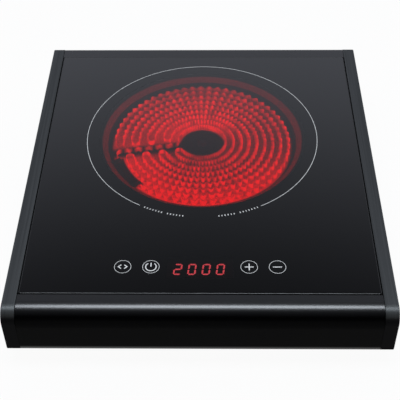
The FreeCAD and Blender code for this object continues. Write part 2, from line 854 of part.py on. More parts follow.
def board_terminals():
    """Screw posts for the supply and the heater leads in one row, and sockets for sensor and fan."""
    posts = [on_board(sensor_socket_x - socket_size[0] / 2, post_row, socket_size),
             on_board(fan_socket_x, fan_y - socket_size[1] / 2, socket_size)]
    for n in range(terminal_count):
        x = terminal_left + n * terminal_pitch
        post = on_board(x, post_row, (terminal_size, terminal_size, terminal_height))
        middle = point(x + terminal_size / 2, post_row + terminal_size / 2, power_board_top)
        post = post.cut(upright(screw_radius, middle.x, middle.y, power_board_top + terminal_height / 2,
                                power_board_top + terminal_height))
        posts.append(post)
    return posts


def board_cable():
    """Flat cable between the two boards, with a header at its lower end."""
    header = block(cable_x - header_size[0] / 2, cable_x + header_size[0] / 2, cable_y - header_size[1] / 2,
                   cable_y + header_size[1] / 2, power_board_top, power_board_top + header_size[2])
    strip = block(cable_x - header_size[0] / 2 + seam, cable_x + header_size[0] / 2 - seam,
                  cable_y - cable_thickness / 2, cable_y + cable_thickness / 2,
                  power_board_top, control_board_bottom)
    return header.fuse(strip).removeSplitter()


# Cooling fan, lying on bosses over the slots in the tray

def around_fan(radius, z0, z1):
    return upright(radius, fan_x, fan_y, fan_z + z0, fan_z + z1)


hub_top = fan_depth - fan_base / 2
hub_bottom = fan_base + blade_gap
bearing_top = hub_top - hub_wall - 2 * blade_gap


def fan_frame():
    half = fan_size / 2
    frame = block(fan_x - half, fan_x + half, fan_y - half, fan_y + half, fan_z, fan_z + fan_depth)
    frame = frame.cut(around_fan(fan_bore, 0, fan_depth))
    frame = frame.fuse(around_fan(hub_radius, 0, fan_base))
    for n in range(4):
        strut = block(hub_radius - fan_base, fan_bore + fan_base, -fan_base, fan_base, 0, fan_base)
        strut.rotate(point(0, 0, 0), UP, 45 + 90 * n)
        strut.translate(point(fan_x, fan_y, fan_z))
        frame = frame.fuse(strut)
    frame = frame.fuse(around_fan(bearing_tube_radius, 0, bearing_top))
    holes = [around_fan(bearing_radius + slip, fan_base / 2, bearing_top)]
    holes += [upright(screw_radius + screw_slip, x, y, fan_z, fan_z + fan_depth) for x, y in fan_corners]
    return frame.cut(holes).removeSplitter()


def fan_bearing():
    sleeve = around_fan(bearing_radius, fan_base / 2, bearing_top)
    return sleeve.cut(around_fan(shaft_radius + running, fan_base / 2, bearing_top))


def fan_stator():
    ring = around_fan(stator_radius, fan_base + blade_gap, bearing_top - blade_gap)
    ring = ring.cut(around_fan(bearing_tube_radius + slip, 0, fan_depth))
    for n in range(4):
        notch = block(bearing_tube_radius + 2 * blade_gap, stator_radius + blade_gap, -blade_gap, blade_gap,
                      0, fan_depth)
        notch.rotate(point(0, 0, 0), UP, 90 * n)
        notch.translate(point(fan_x, fan_y, fan_z))
        ring = ring.cut(notch)
    return ring


def fan_shaft():
    return around_fan(shaft_radius, fan_base / 2 + running, hub_top)


def fan_rotor():
    """A cup-shaped hub with pitched blades, carried by the shaft."""
    hub = around_fan(hub_radius, hub_bottom, hub_top)
    hub = hub.cut(around_fan(hub_radius - hub_wall, hub_bottom, hub_top - hub_wall))
    tip = fan_bore - blade_gap
    sweep = around_fan(tip, hub_bottom, hub_top - hub_wall / 2)
    sweep = sweep.cut(around_fan(hub_radius - hub_wall / 2, 0, fan_depth))
    for n in range(blade_count):
        blade = block(hub_radius - hub_wall, tip + blade_gap, -blade_chord / 2, blade_chord / 2,
                      -blade_thickness / 2, blade_thickness / 2)
        blade.rotate(point(0, 0, 0), point(1, 0, 0), blade_pitch)
        blade.rotate(point(0, 0, 0), UP, 360 * n / blade_count)
        blade.translate(point(fan_x, fan_y, fan_z + (hub_bottom + hub_top) / 2))
        hub = hub.fuse(blade.common(sweep))
    return hub.cut(around_fan(shaft_radius, 0, fan_depth)).removeSplitter()


def fan_screws():
    return [screw(point(x, y, fan_z + fan_depth), point(x, y, floor_top)) for x, y in fan_corners]


# Leads: round wires along straight runs joined by tangent arcs as large as the runs allow

def lead(name, radius, route):
    edges = []
    start = route[0]
    bends = []
    for before, corner, after in zip(route, route[1:], route[2:]):
        into = corner - before
        away = after - corner
        turn = into.getAngle(away)
        reach = 0.45 * min(into.Length, away.Length)
        bends.append(reach / math.tan(turn / 2))
        near = corner - into.normalize() * reach
        far = corner + away.normalize() * reach
        crown = corner + (away - into).normalize() * (bends[-1] / math.cos(turn / 2) - bends[-1])
        edges.append(Part.LineSegment(start, near).toShape())
        edges.append(Part.Arc(near, crown, far).toShape())
        start = far
    edges.append(Part.LineSegment(start, route[-1]).toShape())
    wire = Part.Wire(edges)
    section = Part.Wire(Part.makeCircle(radius, route[0], route[1] - route[0]))
    tube = wire.makePipeShell([section], True, False)
    print("%s: bends %s mm, volume over section times length %.4f" % (
        name, ["%.0f" % bend for bend in bends], tube.Volume / (math.pi * radius ** 2 * wire.Length)))
    save(name, tube)


def terminal_face(n):
    """Middle of the rear face of one of the board's screw posts."""
    return point(terminal_left + n * terminal_pitch + terminal_size / 2, post_row + terminal_size,
                 power_board_top + terminal_height / 2)


def tab_tip(side):
    """Outer end of a heater tab."""
    tip = along_block * tab_end + across_block * (side * terminal_spread)
    return point(tip.x, heater_y + tip.y, element_top + tab_thickness / 2)


def cutout_side(angle, away):
    """A point beside the thermal cut-out, where a lead leaves it square to its side."""
    turn = math.radians(angle)
    reach = cutout_radius + slip + away
    return point(cutout_at.x + reach * math.cos(turn), cutout_at.y + reach * math.sin(turn),
                 pan_bottom - cutout_height / 2 - spring_thickness / 2)


def leads():
    neutral = tab_tip(-1)
    post = terminal_face(0)
    lead("heater_lead_neutral", lead_radius, [
        neutral, neutral + along_block * 7, neutral + point(-9, -12, -8), neutral + point(-9, -27, -19),
        post + point(-3, 22, 4), post + point(0, 10, 0), post])
    live = tab_tip(1)
    lead("cutout_link", lead_radius, [
        live, live + along_block * 7, live + point(-9, -8, -8), live + point(-4, -6, -20),
        live + point(12, 12, -25), cutout_side(215, 9), cutout_side(215, 0)])
    post = terminal_face(3)
    lead("heater_lead_live", lead_radius, [
        cutout_side(270, 0), cutout_side(270, 9), cutout_side(270, 0) + point(-8, -25, 1),
        cutout_side(270, 0) + point(-22, -42, -1), post + point(6, 22, 1), post + point(0, 10, 0), post])
    sensor = point(0, heater_y - sensor_radius - slip, pan_bottom - sensor_tail / 2 - sensor_flange / 2)
    socket = point(sensor_socket_x, post_row + socket_size[1], power_board_top + socket_size[2] / 2)
    lead("sensor_lead", thin_lead_radius, [
        sensor, sensor + point(0, -12, 0), sensor + point(-7, -36, -2), sensor + point(-18, -60, -1),
        socket + point(3, 30, 2), socket + point(0, 12, 0), socket])
    plug = point(fan_x - fan_size / 2, fan_y, fan_z + fan_depth / 2)
    socket = point(fan_socket_x + socket_size[0], fan_y, power_board_top + socket_size[2] / 2)
    lead("fan_lead", thin_lead_radius, [
        plug, plug + point(-10, 0, 0), plug + point(-24, 4, -3), plug + point(-38, 4, -2),
        socket + point(11, 0, 0), socket])


# Cord gland: a bush through the rear panel and the tray, bored for the supply cord

def cord_gland():
    inside = tray_back - tray_wall
    bush = rod(gland_radius, point(gland_x, inside - gland_flange, gland_z), point(gland_x, back, gland_z))
    bush = bush.fuse(rod(gland_radius + gland_flange, point(gland_x, inside - gland_flange, gland_z),
                         point(gland_x, inside, gland_z)))
    bore = rod(gland_bore, point(gland_x, inside - gland_flange, gland_z), point(gland_x, back, gland_z))
    return bush.cut(bore).removeSplitter()


os.makedirs("parts", exist_ok=True)
save("base_tray", base_tray())
save("left_rail", rail(-1))
save("right_rail", rail(1))
save("rail_screws", *rail_screws())
save("front_fascia", front_fascia())
save("fascia_screws", *panel_screws(front, 1))
save("rear_panel", rear_panel())
save("rear_panel_screws", *panel_screws(back, -1))
save("glass_top", glass_top())
save("glass_seal", glass_seal())
for name, place in foot_places.items():
    save(name, foot(*place))
save("foot_screws", *foot_screws())
save("heater_pan", heater_pan())
save("insulation_base", insulation_base())
save("insulation_ring", insulation_ring())
save("heating_element", heating_element())
save("heater_terminals", *heater_terminals())
save("terminal_block", terminal_block())
save("heat_sensor", heat_sensor())
save("thermal_cutout", thermal_cutout())
for name, angle in spring_angles.items():
    save(name, heater_spring(angle))
save("heat_baffle", heat_baffle())
save("baffle_screws", *baffle_screws())
save("control_carrier", control_carrier())
save("control_board", control_board())
save("control_screws", *control_screws())
for name, place in key_places.items():
    save(name, touch_spring(place))
save("display_module", display_module())
save("power_board", power_board())
save("power_board_screws", *power_board_screws())
save("transformer", transformer())
save("relay", relay())
save("heat_sink", heat_sink())
save("triac", triac())
save("filter_capacitor", filter_capacitor())
save("fuse", fuse())
save("buzzer", buzzer())
save("board_terminals", *board_terminals())
save("board_cable", board_cable())
save("fan_frame", fan_frame())
save("fan_bearing", fan_bearing())
save("fan_stator", fan_stator())
save("fan_shaft", fan_shaft())
save("fan_rotor", fan_rotor())
save("fan_screws", *fan_screws())
leads()
save("cord_gland", cord_gland())
print("%d sub-parts, %.1f x %.1f x %.1f mm" % (len(made), width, depth, rail_top))
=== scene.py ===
import math
import bpy
import numpy as np
from mathutils import Matrix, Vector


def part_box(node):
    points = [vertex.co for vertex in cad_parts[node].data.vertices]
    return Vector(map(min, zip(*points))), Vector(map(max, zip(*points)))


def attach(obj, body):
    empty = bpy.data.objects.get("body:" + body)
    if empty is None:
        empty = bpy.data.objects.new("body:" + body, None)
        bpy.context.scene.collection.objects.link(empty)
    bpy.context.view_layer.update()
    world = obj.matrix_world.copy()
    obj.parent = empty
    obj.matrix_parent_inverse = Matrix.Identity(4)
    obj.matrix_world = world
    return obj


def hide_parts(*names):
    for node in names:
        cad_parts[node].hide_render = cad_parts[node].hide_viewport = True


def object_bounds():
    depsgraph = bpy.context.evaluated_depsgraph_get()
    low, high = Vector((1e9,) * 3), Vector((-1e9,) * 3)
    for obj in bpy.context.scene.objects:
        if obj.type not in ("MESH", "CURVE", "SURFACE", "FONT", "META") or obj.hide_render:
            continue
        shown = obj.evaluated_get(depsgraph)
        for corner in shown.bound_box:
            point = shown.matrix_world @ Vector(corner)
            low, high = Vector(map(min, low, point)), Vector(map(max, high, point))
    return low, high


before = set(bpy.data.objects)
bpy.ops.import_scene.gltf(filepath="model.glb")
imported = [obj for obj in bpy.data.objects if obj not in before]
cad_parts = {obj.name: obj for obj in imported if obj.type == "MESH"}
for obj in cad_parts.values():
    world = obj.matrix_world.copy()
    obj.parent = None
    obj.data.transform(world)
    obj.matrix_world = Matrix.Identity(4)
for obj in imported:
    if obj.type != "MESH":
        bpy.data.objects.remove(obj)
cad_low, cad_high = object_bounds()


# Base tray: the pan that carries everything, injection moulded in black heat-resistant plastic with a
# spark-eroded grain. The boards, the fan and the heater's springs stand on bosses and studs in its floor.

class Shade:
    """A value or colour in a material's nodes: arithmetic on it adds Math nodes, node() any other."""

    def __init__(self, tree, socket=None):
        self.tree = tree
        self.socket = socket

    def node(self, kind, settings, sockets, output=0):
        """Adds a node of this type: first its settings, then the values or links of its sockets."""
        made = self.tree.nodes.new("ShaderNode" + kind)
        for name, value in settings.items():
            setattr(made, name, value)
        for name, value in sockets.items():
            if isinstance(value, Shade):
                self.tree.links.new(value.socket, made.inputs[name])
            else:
                made.inputs[name].default_value = value
        return Shade(self.tree, made.outputs[output])

    def __add__(self, other):
        return self.node("Math", {"operation": "ADD"}, {0: self, 1: other})

    def __sub__(self, other):
        return self.node("Math", {"operation": "SUBTRACT"}, {0: self, 1: other})

    def __rsub__(self, other):
        return self.node("Math", {"operation": "SUBTRACT"}, {0: other, 1: self})

    def __mul__(self, other):
        return self.node("Math", {"operation": "MULTIPLY"}, {0: self, 1: other})

    def __truediv__(self, other):
        return self.node("Math", {"operation": "DIVIDE"}, {0: self, 1: other})

    __radd__ = __add__
    __rmul__ = __mul__


def colour(red, green, blue):
    """A screen colour, 0 to 255 a channel, as the light values that a shader takes."""
    share = np.array([red, green, blue]) / 255
    light = np.where(share <= 0.04045, share / 12.92, ((share + 0.055) / 1.055) ** 2.4)
    return (*light.tolist(), 1.0)


def in_units(place, size, stretch=(1, 1, 1)):
    """A place counted in units of this size in metres, which are drawn out along each axis by stretch."""
    units = [size * factor for factor in stretch]
    return place.node("VectorMath", {"operation": "DIVIDE"}, {0: place, 1: units})


def noise(place, size, detail=2.0, stretch=(1, 1, 1)):
    """Cloudy noise about 0.5 with lumps of this size in metres, drawn out along each axis by stretch."""
    return place.node("TexNoise", {}, {"Vector": in_units(place, size, stretch), "Scale": 1.0,
                                       "Detail": detail})


def ease(value, low, high):
    """0 where value is at low or beyond it, 1 at high or beyond it, with a smooth S between."""
    return value.node("MapRange", {"interpolation_type": "SMOOTHSTEP"},
                      {"Value": value, "From Min": low, "From Max": high})


def tint(amount, first, second):
    """A colour between two: the first where amount is 0, the second where it is 1."""
    return amount.node("Mix", {"data_type": "RGBA"}, {0: amount, 6: first, 7: second}, 2)


def relief(height, depth):
    """A surface raised by depth metres where height is 1."""
    return height.node("Bump", {}, {"Distance": depth, "Height": height})


def along(place, axis):
    """One coordinate, X, Y or Z, of a place on the piece."""
    return place.node("SeparateXYZ", {}, {"Vector": place}, axis)


def make_finish(name, constants, varying):
    """A material of one Principled shader: constants hold all over the surface, and varying(place)
    gives what changes over it, where place is the piece's own Object coordinate in metres."""
    material = bpy.data.materials.new(name)
    material.use_nodes = True
    tree = material.node_tree
    shader = tree.nodes["Principled BSDF"]
    for socket, value in constants.items():
        shader.inputs[socket].default_value = value
    place = Shade(tree).node("TexCoord", {}, {}, "Object")
    for socket, value in varying(place).items():
        tree.links.new(value.socket, shader.inputs[socket])
    return material


def dress(material, *names):
    """Gives frame pieces their finish."""
    for name in names:
        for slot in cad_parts[name].material_slots:
            slot.material = material


def moulded_grain(place):
    """Fine pits of the mould, with a slow drift in colour and gloss."""
    pits = noise(place, 0.0006, detail=3.0)
    drift = noise(place, 0.025)
    return {"Base Color": tint(drift, colour(19, 19, 21), colour(29, 29, 31)),
            "Roughness": 0.42 + 0.3 * pits,
            "Normal": relief(pits, depth=0.00005)}


tray_plastic = make_finish("tray_plastic", {"Specular IOR Level": 0.4}, moulded_grain)
dress(tray_plastic, "base_tray")


# Feet: four moulded rubber pads that keep the hot tray off the table, each held by a screw from below.
# The rubber is dull, and the sole is scuffed grey where it slides over the table.

SOLE = 0.0012


def worn_rubber(place):
    """Matt rubber that turns grey and rougher towards the sole."""
    crumb = noise(place, 0.0008, detail=3.0)
    scuff = ease(along(place, "Z"), SOLE, 0.0) * noise(place, 0.004, detail=3.0)
    return {"Base Color": tint(scuff, colour(27, 27, 28), colour(88, 86, 83)),
            "Roughness": 0.72 + 0.25 * crumb,
            "Normal": relief(crumb, depth=0.00008)}


foot_rubber = make_finish("foot_rubber", {"Specular IOR Level": 0.3}, worn_rubber)
dress(foot_rubber, "front_left_foot", "front_right_foot", "rear_left_foot", "rear_right_foot")


# Screws: zinc-plated pan heads with a cross recess. The bath leaves a faint yellow and blue cast, and
# the driver leaves fine scratches round the recess.

def zinc_plate(place):
    """Bright plating with a patchy cast and short scratches."""
    cast = noise(place, 0.002)
    scratch = noise(place, 0.0003, detail=3.0, stretch=(6, 1, 1))
    return {"Base Color": tint(cast, colour(176, 172, 160), colour(160, 166, 178)),
            "Roughness": 0.2 + 0.25 * scratch,
            "Normal": relief(scratch, depth=0.00001)}


screw_steel = make_finish("screw_steel", {"Metallic": 1.0}, zinc_plate)
dress(screw_steel, "foot_screws", "rail_screws", "fascia_screws", "rear_panel_screws", "baffle_screws",
      "control_screws", "power_board_screws", "fan_screws")


# Cord gland: a flanged bush pushed from inside through the tray wall and the rear panel, bored for the
# supply cord. It has the same black as the tray with a finer, glossier skin.

def nylon_skin(place):
    """Smooth black nylon with a slight orange peel."""
    peel = noise(place, 0.0015)
    return {"Base Color": tint(peel, colour(18, 18, 19), colour(26, 26, 28)),
            "Roughness": 0.3 + 0.2 * peel,
            "Normal": relief(peel, depth=0.00004)}


gland_nylon = make_finish("gland_nylon", {}, nylon_skin)
dress(gland_nylon, "cord_gland")


# Heater springs: three bent strips of spring steel on studs in the tray's floor, which press the heater
# up against the glass. The strip is rolled, so it has fine lines. The contact springs under the touch
# keys are of the same steel.

def rolled_strip(place):
    """Grey steel with rolling lines and a straw-coloured heat bloom."""
    lines = noise(place, 0.0004, detail=3.0, stretch=(12, 12, 1))
    bloom = noise(place, 0.012)
    return {"Base Color": tint(bloom, colour(132, 130, 126), colour(150, 138, 112)),
            "Roughness": 0.25 + 0.3 * lines,
            "Normal": relief(lines, depth=0.00001)}


spring_steel = make_finish("spring_steel", {"Metallic": 1.0}, rolled_strip)
dress(spring_steel, "heater_spring_right", "heater_spring_left", "heater_spring_front",
      "mode_key_spring", "power_key_spring", "plus_key_spring", "minus_key_spring")


# Heater pan and heat baffle: deep-drawn and bent from aluminium-coated steel sheet. The hot-dip coat
# freezes in flat crystals, a few millimetres across, that catch the light differently.

SPANGLE = 0.004


def spangled_coat(place):
    """Crystals of the hot-dip coat, each with its own tone and gloss."""
    crystal = place.node("TexVoronoi", {}, {"Vector": in_units(place, SPANGLE), "Scale": 1.0}, "Color")
    tone = place.node("SeparateColor", {}, {"Color": crystal}, "Red")
    haze = noise(place, 0.0007, detail=3.0)
    return {"Base Color": tint(tone, colour(150, 150, 149), colour(182, 182, 180)),
            "Roughness": 0.28 + 0.15 * tone + 0.15 * haze,
            "Normal": relief(haze, depth=0.00001)}


pan_steel = make_finish("pan_steel", {"Metallic": 1.0}, spangled_coat)
dress(pan_steel, "heater_pan", "heat_baffle")


# Insulation: a pressed floor of microporous board and a rim ring of ceramic fibre, both in the pan. The
# ring seals against the glass. Floor and ring are painted dark as shade where the ribbon's light doesn't
# reach, and are pale with a painted red glow under the tracks and on the bevel.

pan_low, pan_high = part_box("heater_pan")
heater_x = (pan_low.x + pan_high.x) / 2
heater_y = (pan_low.y + pan_high.y) / 2
# Painted shade: the floor's colour is dark inside the first track and beyond the last one, where the ribbon's
# light doesn't reach.
PAINTED_SHADE_INSIDE = (0.0180, 0.0205)
PAINTED_SHADE_OUTSIDE = (0.0770, 0.0795)
ring_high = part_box("insulation_ring")[1]
BEVEL = (ring_high.z - 0.0038, ring_high.z - 0.0030)


def from_heater(place):
    """Distance from the heater's upright axis."""
    offset = place.node("VectorMath", {"operation": "SUBTRACT"}, {0: place, 1: (heater_x, heater_y, 0)})
    level = place.node("VectorMath", {"operation": "MULTIPLY"}, {0: offset, 1: (1, 1, 0)})
    return place.node("VectorMath", {"operation": "LENGTH"}, {0: level}, "Value")


HOT_MIDDLE = 0.046
HOT_REACH = 0.030
HOT_LEFT = 0.4
LEFT_SIDE = (0.3, 1.0)
COLD = (0.0, 0.0, 0.0, 1.0)
# Painted light: the ribbon's red glow on the floor and on the ring's bevel, given as emission of pieces that
# are no lamps.
PAINTED_FLOOR_GLOW = (4.4, 0.05, 0.07, 1.0)
PAINTED_RIM_GLOW = (0.4, 0.008, 0.01, 1.0)
BEVEL_MOUTH = (0.0872, 0.0866)
# Painted shade at the terminals and beside the return, where the ribbon doesn't run.
PAINTED_SHADE_ANGLE = math.radians(211)
PAINTED_SHADE_TERMINALS = (0.0200, 0.0180)
PAINTED_SHADE_BEYOND = (0.0700, 0.0715)
RETURN_ANGLE = math.radians(190)
RETURN_SHADE = (0.0085, 0.0)
BAND_START = (0.0, 0.01)


def hot_side(place):
    """How far the heat leans here, from 1 at the front of the outer tracks and the back of the inner ones
    to -1 at the back of the outer tracks and the front of the inner ones, and a little to the left."""
    radius = from_heater(place)
    to_front = (heater_y - along(place, "Y")) / radius
    to_left = (heater_x - along(place, "X")) / radius
    return to_front * (radius - HOT_MIDDLE) * (1 / HOT_REACH) + HOT_LEFT * ease(to_left, *LEFT_SIDE)


def band(place, angle, half_width):
    """1 in a straight band from the heater's middle outwards, which fades over a range of half widths and
    begins softly."""
    from_x = along(place, "X") - heater_x
    from_y = along(place, "Y") - heater_y
    aside = from_y * math.cos(angle) - from_x * math.sin(angle)
    out = from_x * math.cos(angle) + from_y * math.sin(angle)
    return ease(aside * aside, half_width[0] ** 2, half_width[1] ** 2) * ease(out, *BAND_START)


def pressed_board(place):
    """Pale mineral board with coarse and fine lumps, with a painted red glow where the ribbon is hottest, and
    painted shade where it doesn't run: in the middle, round the outside, at the terminals and beside the
    return."""
    radius = from_heater(place)
    at_terminals = band(place, PAINTED_SHADE_ANGLE, PAINTED_SHADE_TERMINALS) * ease(radius, *PAINTED_SHADE_BEYOND)
    painted_lit_area = ease(radius, *PAINTED_SHADE_INSIDE) * (1 - ease(radius, *PAINTED_SHADE_OUTSIDE)) * (1 - at_terminals)
    lumps = noise(place, 0.0025, detail=5.0)
    lit = painted_lit_area * (1 - band(place, RETURN_ANGLE, RETURN_SHADE))
    # Painted light and shade: the board is pale and glows red only where the ribbon's light falls, and is
    # dark elsewhere.
    return {"Base Color": tint(lit * (0.75 + 0.5 * lumps), colour(56, 44, 44), colour(196, 184, 166)),
            "Emission Color": tint(lit * ease(hot_side(place), 0.0, 1.0), COLD, PAINTED_FLOOR_GLOW),
            "Normal": relief(lumps, depth=0.0004)}


def fibre_ring(place):
    """Off-white fibre with long matted threads, painted dark as shade but for its bevel, which takes a
    painted glow from the heater.
    """
    threads = noise(place, 0.0006, detail=4.0, stretch=(5, 5, 1))
    lumps = noise(place, 0.006, detail=3.0)
    fibre = tint(threads * lumps, colour(206, 198, 184), colour(168, 158, 142))
    painted_lit_area = ease(along(place, "Z"), *BEVEL) * ease(from_heater(place), *BEVEL_MOUTH)
    # Painted light and shade: the ring is pale and glows only on its bevel, and is dark elsewhere.
    return {"Base Color": tint(painted_lit_area, colour(40, 38, 38), fibre),
            "Emission Color": tint(painted_lit_area, COLD, PAINTED_RIM_GLOW),
            "Normal": relief(threads, depth=0.0003)}


dull = {"Roughness": 0.95, "Specular IOR Level": 0.1, "Emission Strength": 1.0}
insulation_board = make_finish("insulation_board", dull, pressed_board)
dress(insulation_board, "insulation_base")
insulation_fibre = make_finish("insulation_fibre", dull, fibre_ring)
dress(insulation_fibre, "insulation_ring")


# Heating ribbon: one corrugated strip of resistance alloy that stands on edge on the insulation floor.
# It runs round and back in nine tracks, and a radial return brings its inner end out to the terminals.

ribbon_low, ribbon_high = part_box("heating_element")
RIBBON_THICKNESS = 0.00025
TRACKS = 9
FIRST_TRACK = 0.0205
TRACK_PITCH = 0.0069
WAVES_PER_TURN = 60
WAVE_DEPTH = 0.00135
WAVE_STEEPNESS = 0.38
RETURN_BEND = 0.004
TURN_ASIDE = 0.00995
TERMINAL_ANGLE = math.radians(213.5)
TERMINAL_SPREAD = 0.017
END_RUN = 0.003
RETURN_SWING = 0.5 * WAVE_DEPTH
RETURN_WAVE = 0.7 * TRACK_PITCH
RETURN_POINTS = 288
POINTS_PER_WAVE = 12
FEWEST_POINTS = 8


def arc(centre, radius, start, end, step=0.0004, fewest=4):
    """Points round a centre from one angle to another, spaced about step apart."""
    count = max(fewest, int(radius * abs(end - start) / step))
    angle = np.linspace(start, end, count, endpoint=False)
    return np.array(centre) + radius * np.column_stack([np.cos(angle), np.sin(angle)])


def track(radius, start, end):
    """A track about the heater's middle: a circle whose radius swings with a sine of the angle, the
    same number of waves in every track, and dies out towards both ends."""
    waves = WAVES_PER_TURN * abs(end - start) / (2 * math.pi)
    angle = np.linspace(start, end, max(FEWEST_POINTS, int(POINTS_PER_WAVE * waves)), endpoint=False)
    wave_length = 2 * math.pi * radius / WAVES_PER_TURN
    ends = np.minimum(np.abs(angle - start), np.abs(end - angle)) * radius
    depth = min(WAVE_DEPTH, WAVE_STEEPNESS * wave_length) * np.clip(ends / wave_length, 0, 1)
    swing = radius + depth * np.sin(WAVES_PER_TURN * angle)
    return np.column_stack([swing * np.cos(angle), swing * np.sin(angle)])


def polar(radius, angle):
    """A point at this distance and angle from the middle."""
    return np.array([radius * math.cos(angle), radius * math.sin(angle)])


def ribbon_line():
    """The ribbon's centre line about the heater's middle, from the outer track's terminal to the other:
    tracks that end beside the return, half turns between them, and the return with its two bends."""
    outer = FIRST_TRACK + (TRACKS - 1) * TRACK_PITCH
    swing = math.asin(TERMINAL_SPREAD / outer)
    angle = TERMINAL_ANGLE + swing - 2 * math.pi
    tangent = polar(1, angle + math.pi / 2)
    run_in = np.linspace(END_RUN, 0, FEWEST_POINTS, endpoint=False)
    stretches = [polar(outer, angle) - tangent * run_in[:, None]]
    way = 1
    for lane in range(TRACKS - 1, 0, -1):
        radius = FIRST_TRACK + lane * TRACK_PITCH
        middle = radius - TRACK_PITCH / 2
        aside = math.asin(TURN_ASIDE / middle)
        end = RETURN_ANGLE - aside if way > 0 else RETURN_ANGLE + aside - 2 * math.pi
        stretches.append(track(radius, angle, end))
        stretches.append(arc(polar(middle, end), TRACK_PITCH / 2, end, end + way * math.pi))
        angle = end
        way = -way
    lean = math.asin(RETURN_BEND / (FIRST_TRACK + RETURN_BEND))
    stretches.append(track(FIRST_TRACK, angle, RETURN_ANGLE - lean))
    centre = polar(FIRST_TRACK + RETURN_BEND, RETURN_ANGLE - lean)
    stretches.append(arc(centre, RETURN_BEND, RETURN_ANGLE - lean + math.pi, RETURN_ANGLE + math.pi / 2))
    near = math.sqrt((FIRST_TRACK + RETURN_BEND) ** 2 - RETURN_BEND ** 2)
    far = math.sqrt((outer - RETURN_BEND) ** 2 - RETURN_BEND ** 2)
    reach = np.linspace(near, far, RETURN_POINTS, endpoint=False)
    ends = np.clip(np.minimum(reach - near, far - reach) / TRACK_PITCH, 0, 1)
    swing_out = RETURN_SWING * ends * np.sin(2 * math.pi * (reach - near) / RETURN_WAVE)
    stretches.append(reach[:, None] * polar(1, RETURN_ANGLE)
                     + swing_out[:, None] * polar(1, RETURN_ANGLE + math.pi / 2))
    lean = math.asin(RETURN_BEND / (outer - RETURN_BEND))
    centre = polar(outer - RETURN_BEND, RETURN_ANGLE + lean)
    stretches.append(arc(centre, RETURN_BEND, RETURN_ANGLE - math.pi / 2, RETURN_ANGLE + lean))
    angle = TERMINAL_ANGLE - swing
    stretches.append(track(outer, RETURN_ANGLE + lean, angle))
    tangent = polar(1, angle + math.pi / 2)
    run_out = np.linspace(0, END_RUN, FEWEST_POINTS)
    stretches.append(polar(outer, angle) + tangent * run_out[:, None])
    return np.concatenate(stretches)


def carried_bar(line, half_width, low, high, closed=False):
    """A rectangle carried along a level line: each point moved half_width to both sides along the
    line's normal, at the heights low and high. Corners are mitred, and an open bar has end caps."""
    if closed:
        before = line - np.roll(line, 1, axis=0)
        after = np.roll(line, -1, axis=0) - line
    else:
        steps = np.diff(line, axis=0)
        before = np.concatenate([steps[:1], steps])
        after = np.concatenate([steps, steps[-1:]])
    before = before / np.linalg.norm(before, axis=1, keepdims=True)
    after = after / np.linalg.norm(after, axis=1, keepdims=True)
    side = np.column_stack([-before[:, 1] - after[:, 1], before[:, 0] + after[:, 0]])
    side = side * (2 * half_width / np.sum(side * side, axis=1, keepdims=True))
    count = len(line)
    corners = np.empty((count, 4, 3))
    corners[:, [0, 3], :2] = (line + side)[:, None]
    corners[:, [1, 2], :2] = (line - side)[:, None]
    corners[:, :2, 2] = high
    corners[:, 2:, 2] = low
    ring = np.arange(count if closed else count - 1)[:, None] * 4
    edge = np.arange(4)[None]
    after_ring = (ring + 4) % (count * 4)
    after_edge = (edge + 1) % 4
    quads = np.stack([ring + edge, ring + after_edge, after_ring + after_edge, after_ring + edge], axis=-1)
    faces = quads.reshape(-1, 4)
    if not closed:
        last = (count - 1) * 4
        faces = np.concatenate([faces, [[3, 2, 1, 0]], [[last, last + 1, last + 2, last + 3]]])
    return corners.reshape(-1, 3), faces.tolist()


def make_piece(name, shapes, material):
    """One object of several (points, faces) shapes, at the origin, riding on the hob."""
    starts = np.cumsum([0] + [len(points) for points, faces in shapes]).tolist()
    points = np.concatenate([points for points, faces in shapes])
    faces = [[start + corner for corner in face] for start, shape in zip(starts, shapes) for face in shape[1]]
    mesh = bpy.data.meshes.new(name)
    mesh.from_pydata(points.tolist(), [], faces)
    mesh.materials.append(material)
    piece = bpy.data.objects.new(name, mesh)
    bpy.context.scene.collection.objects.link(piece)
    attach(piece, "hob")
    return piece


FOLD_HEAT = 0.5
RETURN_HEAT = 0.45
RETURN_HALF = 0.0016
RETURN_PATCH = 0.009
COLD_END = (0.0045, 0.0070)


def fold_heat(line):
    """How hot the folds make each point of the line about the heater's middle: an even 1 with a swing in
    every wave. The return is cooler and patchy, and the line's last stretch is cold."""
    angle = np.arctan2(line[:, 1], line[:, 0])
    aside = np.abs(line @ polar(1, RETURN_ANGLE + math.pi / 2))
    out = line @ polar(1, RETURN_ANGLE)
    patchy = RETURN_HEAT * (1 + np.sin(2 * math.pi * out / RETURN_PATCH))
    heat = np.where((aside < RETURN_HALF) & (out > 0), patchy, 1 + FOLD_HEAT * np.sin(WAVES_PER_TURN * angle))
    run = np.concatenate([[0], np.cumsum(np.linalg.norm(np.diff(line, axis=0), axis=1))])
    return heat * np.interp(run[-1] - run, COLD_END, (0, 1))


GLOW = (8.2, 0.10, 0.13, 1.0)
HEAT_MEAN = 0.66
HEAT_LEAN = 0.40
HEAT_PATCHES = 2.4
FOOT_FADE = 0.003


def glowing_alloy(place):
    """Red heat that follows the folds and leans to the hot sides, patchy and cooler at the foot, where the
    floor holds the strip."""
    folds = place.node("Attribute", {"attribute_name": "fold_heat"}, {}, "Fac")
    height = ease(along(place, "Z"), ribbon_low.z - FOOT_FADE, ribbon_low.z + FOOT_FADE)
    patches = 1 + HEAT_PATCHES * (noise(place, 0.006) - 0.5)
    heat = folds * height * (HEAT_MEAN + HEAT_LEAN * hot_side(place)) * patches
    return {"Emission Color": tint(heat, COLD, GLOW)}


